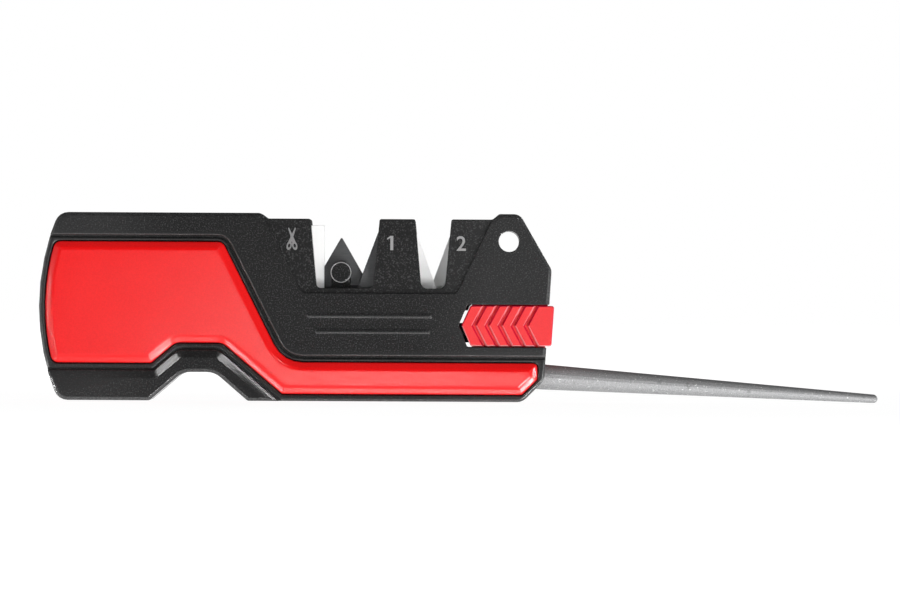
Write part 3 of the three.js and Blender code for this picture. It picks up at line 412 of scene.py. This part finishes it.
def looks(face, direction):
    """Whether a face looks straight along a direction."""
    return face.normal.dot(direction) > STRAIGHT


def select_faces(piece, wanted):
    """In edit mode, selects the faces that a test picks and leaves the others."""
    faces = bmesh.from_edit_mesh(piece.data)
    bpy.ops.mesh.select_all(action="DESELECT")
    for face in [face for face in faces.faces if wanted(face)]:
        face.select_set(True)
    bmesh.update_edit_mesh(piece.data)


# %% Copying, shaping and finishing
MERGE_DISTANCE = 0.002 * MM


def start_copy(node, name):
    """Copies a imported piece, merges its loose triangles and leaves it in edit mode, all selected."""
    piece = bpy.data.objects.new(name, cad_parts[node].data.copy())
    bpy.context.scene.collection.objects.link(piece)
    select_only(piece)
    bpy.ops.object.mode_set(mode="EDIT")
    bpy.ops.mesh.select_all(action="SELECT")
    bpy.ops.mesh.remove_doubles(threshold=MERGE_DISTANCE)
    return piece


def apply_modifier(piece, kind, **settings):
    modifier = piece.modifiers.new(kind.lower(), kind)
    for key, value in settings.items():
        setattr(modifier, key, value)
    select_only(piece)
    bpy.ops.object.modifier_apply(modifier=modifier.name)


def finish_piece(piece, body, finish):
    piece.data.materials.clear()
    piece.data.materials.append(finish)
    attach(piece, body)


# %% Borders that stay crisp
SHALLOW_FACING = 0.8
CRISP_ANGLE = math.radians(8)


def mark_shallow_bevels(piece):
    """In edit mode, keeps the light from running smoothly over the borders of shallow front bevels."""
    edges = bmesh.from_edit_mesh(piece.data)
    bpy.ops.mesh.select_all(action="DESELECT")
    for edge in edges.edges:
        facing = [abs(face.normal.y) for face in edge.link_faces]
        if len(facing) == 2 and min(facing) > SHALLOW_FACING and edge.calc_face_angle() > CRISP_ANGLE:
            edge.select_set(True)
    bmesh.update_edit_mesh(piece.data)
    bpy.ops.mesh.mark_sharp()


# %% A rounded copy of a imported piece
FACET_ANGLE = math.radians(0.3)


def dress(node, body, finish, edge_radius=0.0, sharp=28, joined=True):
    """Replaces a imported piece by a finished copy. An edge counts from the sharp angle on, in degrees."""
    piece = start_copy(node, f"dressed_{node}")
    if joined:
        bpy.ops.mesh.dissolve_limited(angle_limit=FACET_ANGLE)
    if edge_radius:
        mark_shallow_bevels(piece)
    bpy.ops.object.mode_set(mode="OBJECT")
    if edge_radius:
        bpy.ops.object.shade_smooth()
        apply_modifier(piece, "BEVEL", width=edge_radius, segments=2, limit_method="ANGLE",
                       angle_limit=math.radians(sharp), use_clamp_overlap=False)
    else:
        bpy.ops.object.shade_smooth_by_angle(angle=math.radians(sharp))
    if joined:
        apply_modifier(piece, "TRIANGULATE")
    apply_modifier(piece, "WEIGHTED_NORMAL", weight=100, keep_sharp=True)
    finish_piece(piece, body, finish)
    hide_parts(node)
    print(node, "has", len(piece.data.polygons), "faces")


# %% Dress the pieces that show
MOULDED_EDGE = 0.15 * MM
GROUND_EDGE = 0.1 * MM
SCREW_EDGE = 0.05 * MM
SCREWS = 6
for shell in ("front_shell", "back_shell"):
    dress(shell, "housing", black_plastic, MOULDED_EDGE)
for panel in ("front_grip_panel", "back_grip_panel"):
    dress(panel, "housing", panel_plastic, sharp=40, joined=False)
for stone in ("guide_stone", "front_fine_stone", "rear_fine_stone"):
    dress(stone, "housing", white_ceramic, GROUND_EDGE)
for carbide in ("scissor_carbide", "coarse_carbide"):
    dress(carbide, "housing", dark_carbide, GROUND_EDGE)
dress("diamond_rod", "rod", grit_steel, GROUND_EDGE)
dress("fire_steel_handle", "fire_steel", handle_plastic)
dress("fire_steel_rod", "fire_steel", cast_flint, GROUND_EDGE)
for number in range(1, SCREWS + 1):
    dress(f"housing_screw_{number}", "housing", screw_steel, SCREW_EDGE)

# %% Finish the pieces that stay as packed
for node, finish in (("rod_carriage", black_plastic), ("rod_detent_spring", spring_steel)):
    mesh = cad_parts[node].data
    mesh.materials.clear()
    mesh.materials.append(finish)
    print(node, "stays as packed, in", finish.name)

# %% [markdown]
# ## Printed signs
# Each slot has a small grey sign printed beside it: scissors, 1 and 2. They could be a picture on the
# face, but a picture blurs close up. So each is a thin mesh, a fiftieth of a millimetre of ink that is
# half sunk into the recessed face. The 2 is text turned into mesh. The 1 is a stem with a flag drawn out
# of it, because the 1 of the typeface is too thin.

# %% Ink on the recessed face
STATION_DEPTH = 0.8 * MM
INK_THICKNESS = 0.02 * MM
station_face = housing_low.y + STATION_DEPTH


def printed_grey(name, dark, light):
    finish = Finish(name, Specular_IOR_Level=0.3, Roughness=0.6)
    wear = finish.noise(0.25 * MM, detail=3.0)
    finish.feed("Base Color", finish.blend(wear, colour(dark, dark, dark), colour(light, light, light)))
    return finish.done()


def lay_on_station(mark, x, z, height, ink):
    """Scales a mark that faces the front to its height, and centres it on the recessed face. X counts from
    the middle of the housing and z from its bottom edge."""
    corners = [vertex.co for vertex in mark.data.vertices]
    low = Vector([min(corner[axis] for corner in corners) for axis in range(3)])
    high = Vector([max(corner[axis] for corner in corners) for axis in range(3)])
    size = height / (high.z - low.z)
    thickness = INK_THICKNESS / (high.y - low.y)
    to_origin = Matrix.Translation((low + high) / -2)
    to_face = Matrix.Translation((housing_middle + x, station_face, housing_low.z + z))
    mark.data.transform(to_face @ Matrix.Diagonal((size, thickness, size, 1)) @ to_origin)
    finish_piece(mark, "housing", ink)
    print(mark.name, "is", [round(side * size / MM, 2) for side in (high - low).xz], "mm")


grey_ink = printed_grey("printed_grey", 0.2, 0.34)
faint_ink = printed_grey("faint_grey", 0.12, 0.26)

# %% Figure one, drawn in units of a millimetre
LEFT = Vector((-1, 0, 0))
STEM_SIZE = (0.7, 0.2, 3.35)
FLAG_FOOT = 1.2
FLAG_REACH = (-0.75, 0, -0.5)
FLAG_TAPER = 0.7


def block(name, size):
    """A block about the origin, ready to be shaped."""
    bpy.ops.object.select_all(action="DESELECT")
    bpy.ops.mesh.primitive_cube_add(size=1)
    piece = bpy.context.object
    piece.name = name
    piece.scale = size
    bpy.ops.object.transform_apply(location=True, rotation=True, scale=True)
    return piece


def figure_one(x, z, height):
    """A stem whose upper left side is drawn out into a flag."""
    mark = block("mark_1", STEM_SIZE)
    bpy.ops.object.mode_set(mode="EDIT")
    bpy.ops.mesh.select_all(action="SELECT")
    bpy.ops.mesh.bisect(plane_co=(0, 0, FLAG_FOOT), plane_no=(0, 0, 1))
    select_faces(mark, lambda face: looks(face, LEFT) and face.calc_center_median().z > FLAG_FOOT)
    bpy.ops.mesh.extrude_region_move(TRANSFORM_OT_translate={"value": FLAG_REACH})
    bpy.ops.transform.resize(value=(1, 1, FLAG_TAPER))
    bpy.ops.object.mode_set(mode="OBJECT")
    lay_on_station(mark, x, z, height, grey_ink)


figure_one(x=22.2 * MM, z=37.1 * MM, height=3.35 * MM)

# %% Figure two
STROKE_GAIN = 0.012


def figure_two(x, z, height):
    bpy.ops.object.text_add(rotation=(math.radians(90), 0, 0))
    mark = bpy.context.object
    mark.name = "mark_2"
    mark.data.body = "2"
    mark.data.extrude = 0.05
    mark.data.offset = STROKE_GAIN
    select_only(mark)
    bpy.ops.object.convert(target="MESH")
    bpy.ops.object.transform_apply(location=True, rotation=True, scale=True)
    lay_on_station(bpy.context.object, x, z, height, grey_ink)


figure_two(x=38.83 * MM, z=37.07 * MM, height=3.45 * MM)

# %% [markdown]
# ## Scissors sign
# The scissors are two blades and two finger rings. They could be drawn as one outline, but each half is
# the mirror of the other, so one function makes a half for either hand, and a union joins all four.

# %% Scissors, drawn in units of a millimetre
UP = Vector((0, 0, 1))
BLADE_SIZE = (0.76, 0.3, 3.6)
BLADE_PLACE = (0.1, 0.9)
BLADE_LEAN = math.radians(19)
TIP_TAPER, TIP_SHIFT = 0.35, 0.12
LOOP_RADIUS, LOOP_WIRE, LOOP_STRETCH = 0.43, 0.16, 1.75
LOOP_PLACE = (0.64, -1.56)
LOOP_LEAN = math.radians(14)


def scissor_half(hand):
    """A pointed blade that leans to one side, and the ring on its other end."""
    blade = block("blade", BLADE_SIZE)
    bpy.ops.object.mode_set(mode="EDIT")
    select_faces(blade, lambda face: looks(face, UP))
    bpy.ops.transform.resize(value=(TIP_TAPER, 1, 1))
    bpy.ops.transform.translate(value=(hand * TIP_SHIFT, 0, 0))
    bpy.ops.object.mode_set(mode="OBJECT")
    blade.location = (hand * BLADE_PLACE[0], 0, BLADE_PLACE[1])
    blade.rotation_euler = (0, hand * BLADE_LEAN, 0)
    bpy.ops.mesh.primitive_torus_add(location=(-hand * LOOP_PLACE[0], 0, LOOP_PLACE[1]), major_segments=32,
                                     minor_segments=8, major_radius=LOOP_RADIUS, minor_radius=LOOP_WIRE)
    loop = bpy.context.object
    loop.rotation_euler = (math.radians(90), hand * LOOP_LEAN, 0)
    loop.scale = (1.0, LOOP_STRETCH, 1.0)
    return blade, loop


scissors, *others = *scissor_half(1), *scissor_half(-1)
select_only(scissors, *others)
bpy.ops.object.transform_apply(location=True, rotation=True, scale=True)
for other in others:
    apply_modifier(scissors, "BOOLEAN", object=other, operation="UNION", solver="EXACT")
    bpy.data.objects.remove(other)
scissors.name = "mark_scissors"
lay_on_station(scissors, x=-0.79 * MM, z=37.98 * MM, height=5.24 * MM, ink=faint_ink)

# %% [markdown]
# ## The painted highlight on the post's edge
# The round post that holds the three-cornered carbide has a chamfer that catches a bright highlight. A pale
# zone in the black finish could show it, but the chamfer is only a pixel wide and would break up. So a thin
# ring of paler plastic, a painted highlight, lies in the chamfer, half sunk into it: a small circle, spun
# once round the post.

# %% Ring on the post
POST_PLACE = (10.65 * MM, 30.2 * MM)
POST_RADIUS, POST_CHAMFER = 2.45 * MM, 0.25 * MM
POST_MARGIN = 0.025 * MM
RING_THICKNESS = 0.11 * MM
RING_SIDES, RING_STEPS = 8, 48


# A pale grey painted on the chamfer as a painted highlight; noise varies it a little.
def post_highlight_finish():
    finish = Finish("post_highlight_paint", Specular_IOR_Level=0.5, Roughness=0.3)
    wear = finish.noise(0.5 * MM, detail=3.0)
    finish.feed("Base Color", finish.blend(wear, colour(0.16, 0.16, 0.161), colour(0.5, 0.5, 0.502)))
    return finish.done()


def post_face(axis):
    """The front of the post: the foremost of the shell's corners that lie on the post."""
    corners = [vertex.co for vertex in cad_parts["front_shell"].data.vertices]
    reach = POST_RADIUS + POST_MARGIN
    return min(corner.y for corner in corners if (corner - axis).xz.length < reach)


def spun_ring(name, centre, radius, thickness):
    bpy.ops.object.select_all(action="DESELECT")
    profile = centre + Vector((radius, 0.0, 0.0))
    bpy.ops.mesh.primitive_circle_add(vertices=RING_SIDES, radius=thickness, location=profile)
    ring = bpy.context.object
    ring.name = name
    bpy.ops.object.transform_apply(location=True, rotation=True, scale=True)
    bpy.ops.object.mode_set(mode="EDIT")
    bpy.ops.mesh.select_all(action="SELECT")
    bpy.ops.mesh.spin(steps=RING_STEPS, angle=math.tau, center=centre, axis=(0, 1, 0))
    bpy.ops.mesh.select_all(action="SELECT")
    bpy.ops.mesh.remove_doubles(threshold=MERGE_DISTANCE)
    bpy.ops.mesh.normals_make_consistent(inside=False)
    bpy.ops.object.mode_set(mode="OBJECT")
    bpy.ops.object.shade_smooth()
    return ring


post_axis = Vector((housing_middle + POST_PLACE[0], 0.0, housing_low.z + POST_PLACE[1]))
post_axis.y = post_face(post_axis) + POST_CHAMFER / 2
# A thin pale ring in the chamfer: a painted highlight.
post_highlight_ring = spun_ring("post_highlight_ring", post_axis, POST_RADIUS - POST_CHAMFER / 2, RING_THICKNESS)
finish_piece(post_highlight_ring, "housing", post_highlight_finish())
print("ring in the post's chamfer at", [round(c / MM, 2) for c in post_axis], "mm, with",
      len(post_highlight_ring.data.polygons), "faces")

# %% [markdown]
# ## The lip in the seam
# The two shells meet along a narrow gap that lies evenly about the middle. A moulded housing closes it
# with a lip that keeps out light and dust. A plain plate would need every opening cut again, so the faces
# of the front shell that look into the gap are copied and thickened to fill it.

# %% Lip between the shells
BACKWARD = Vector((0, 1, 0))
SEAM_REACH = 0.5 * MM
LIP_PLAY = 0.01 * MM


def looks_into_seam(face):
    return looks(face, BACKWARD) and abs(face.calc_center_median().y) < SEAM_REACH


lip = start_copy("front_shell", "seam_lip")
select_faces(lip, lambda face: not looks_into_seam(face))
bpy.ops.mesh.delete(type="FACE")
bpy.ops.object.mode_set(mode="OBJECT")
seam_gap = -2 * max(vertex.co.y for vertex in lip.data.vertices)
lip.data.transform(Matrix.Translation((0.0, LIP_PLAY, 0.0)))
apply_modifier(lip, "SOLIDIFY", thickness=seam_gap - 2 * LIP_PLAY, offset=1.0)
finish_piece(lip, "housing", black_plastic)
print("seam gap in mm:", round(seam_gap / MM, 3), "lip faces:", len(lip.data.polygons))

# %% [markdown]
# ## Floor
# The sharpener stands on white, with only a faint shadow under it. A plain white floor would show a grey
# horizon and deep shadows. So the floor glows for the camera, fully white in the distance and a little
# less near the sharpener, where its shadow stays. In reflections the far floor is dimmer, because it
# would turn the flat faces milky. It lets the light of the low lamps through.

# %% White floor
FLOOR_SIZE = 8.0
FLOOR_GLOW, FLOOR_STRENGTH = 0.85, 1.12
FADE_START, FADE_END = 0.14, 0.4
MIRROR_FADE_START, MIRROR_FADE_END, MIRROR_LOSS = 0.08, 0.3, 0.75
WHITE = colour(1, 1, 1)


def floor_finish():
    finish = Finish("white_floor", Base_Color=colour(0.9, 0.9, 0.9), Roughness=0.9)
    plain = Wire(finish, finish.shader.outputs[0])
    white = finish.add("ShaderNodeEmission", None, {"Color": WHITE, "Strength": FLOOR_STRENGTH})
    distance = finish.add("ShaderNodeVectorMath", {"operation": "LENGTH"}, {0: finish.place},
                          output="Value")
    whiteness = FLOOR_GLOW + finish.step(distance, FADE_START, FADE_END) * (1 - FLOOR_GLOW)
    lifted = finish.add("ShaderNodeMixShader", None, {0: whiteness, 1: plain, 2: white})
    direct, mirrored = finish.seen()
    far = finish.step(distance, MIRROR_FADE_START, MIRROR_FADE_END)
    shown = finish.math("MAXIMUM", direct, mirrored * (1 - far * MIRROR_LOSS))
    surface = finish.add("ShaderNodeMixShader", None, {0: shown, 1: plain, 2: lifted})
    finish.set(finish.tree.nodes["Material Output"], "Surface", surface)
    return finish.done()


bpy.ops.mesh.primitive_plane_add(size=FLOOR_SIZE, location=(0.0, 0.0, packed_low.z))
floor = bpy.context.object
floor.name = "floor"
floor.visible_shadow = False
floor.data.materials.append(floor_finish())

# %% [markdown]
# ## Room
# In a studio, white walls stand at the sides and the camera's side is dark. One white world would be
# simpler, but it would lay a grey veil over the flat black faces. So what the camera sees is white, and
# what is mirrored is white at the sides and below, dimmer ahead and above.

# %% White room
ROOM_LIGHT = 0.2
ROOM_ABOVE = 0.15
ROOM_AHEAD = 0.05

bpy.context.scene.world = bpy.data.worlds.new("white_room")
bpy.context.scene.world.use_nodes = True
room = Nodes(bpy.context.scene.world.node_tree)
direct, mirrored = room.seen()
towards = room.add("ShaderNodeTexCoord", output="Generated")
aside = 1 - room.step(abs(room.part(towards, "Y")), 0.35, 0.85)
under = 1 - room.step(room.part(towards, "Z"), -0.1, 0.6)
in_mirrors = ROOM_AHEAD + aside * (1 - ROOM_AHEAD)
soft = (ROOM_LIGHT + mirrored * (in_mirrors - ROOM_LIGHT)) * (ROOM_ABOVE + under * (1 - ROOM_ABOVE))
room.set(room.tree.nodes["Background"], "Color", WHITE)
room.set(room.tree.nodes["Background"], "Strength", room.math("MAXIMUM", direct, soft))
print("room has", len(room.tree.nodes), "nodes")

# %% [markdown]
# ## Lamps
# In the photograph the lower and outer bevels shine, the upper ones stay darker, and a soft glow lies on
# the lower right of the red panel. One large light would wash over all of them. So small soft lamps stand
# where the bevels mirror them to the camera: low, at the sides and high. Two larger ones light the front
# from lower right and left, a small near one makes the glow, and four behind light the ends and the back.

# %% Soft lamps, placed by angles in degrees from the camera's side
def softbox(name, turn, rise, distance, width, height, watts):
    """A soft lamp that looks at the sharpener, turned to the right of the camera and raised above it."""
    turn, rise = math.radians(turn), math.radians(rise)
    level = math.cos(rise)
    towards = Vector((math.sin(turn) * level, -math.cos(turn) * level, math.sin(rise)))
    bpy.ops.object.light_add(type="AREA", location=Vector((0.0, 0.0, aim.z)) + towards * distance)
    lamp = bpy.context.object
    lamp.name = name
    lamp.data.shape = "RECTANGLE"
    lamp.data.size = width
    lamp.data.size_y = height
    lamp.data.energy = watts
    lamp.data.cycles.use_multiple_importance_sampling = False
    lamp.rotation_euler = (-towards).to_track_quat("-Z", "Y").to_euler()
    print(name, "at", [round(c, 3) for c in lamp.location])


softbox("right_low_light", turn=46.0, rise=-40.5, distance=1.098, width=0.26, height=0.2, watts=4.3)
softbox("left_low_light", turn=-51.0, rise=-39.8, distance=1.139, width=0.17, height=0.22, watts=1.1)
softbox("right_side_light", turn=59.4, rise=-1.6, distance=1.115, width=0.18, height=0.22, watts=2.0)
softbox("left_side_light", turn=-64.5, rise=-0.1, distance=1.186, width=0.15, height=0.25, watts=0.5)
softbox("left_high_light", turn=-32.2, rise=25.0, distance=1.125, width=0.16, height=0.16, watts=1.25)
softbox("right_high_light", turn=20.4, rise=26.7, distance=1.078, width=0.16, height=0.16, watts=1.2)
softbox("right_front_light", turn=19.4, rise=-22.5, distance=1.239, width=0.2, height=0.4, watts=7.8)
softbox("left_front_light", turn=-38.3, rise=-10.5, distance=1.231, width=0.2, height=0.3, watts=1.8)
softbox("near_light", turn=-2.3, rise=-4.1, distance=0.502, width=0.08, height=0.04, watts=0.18)
softbox("low_light", turn=5.0, rise=-59.0, distance=1.112, width=0.3, height=0.2, watts=1.0)
for side, hand in (("left", -1), ("right", 1)):
    softbox(f"{side}_rim_light", turn=hand * 98.1, rise=-28.3, distance=1.12,
            width=0.4, height=0.5, watts=3.0)
    softbox(f"back_{side}_light", turn=hand * 138.8, rise=14.6, distance=1.098,
            width=0.5, height=0.6, watts=4.0)
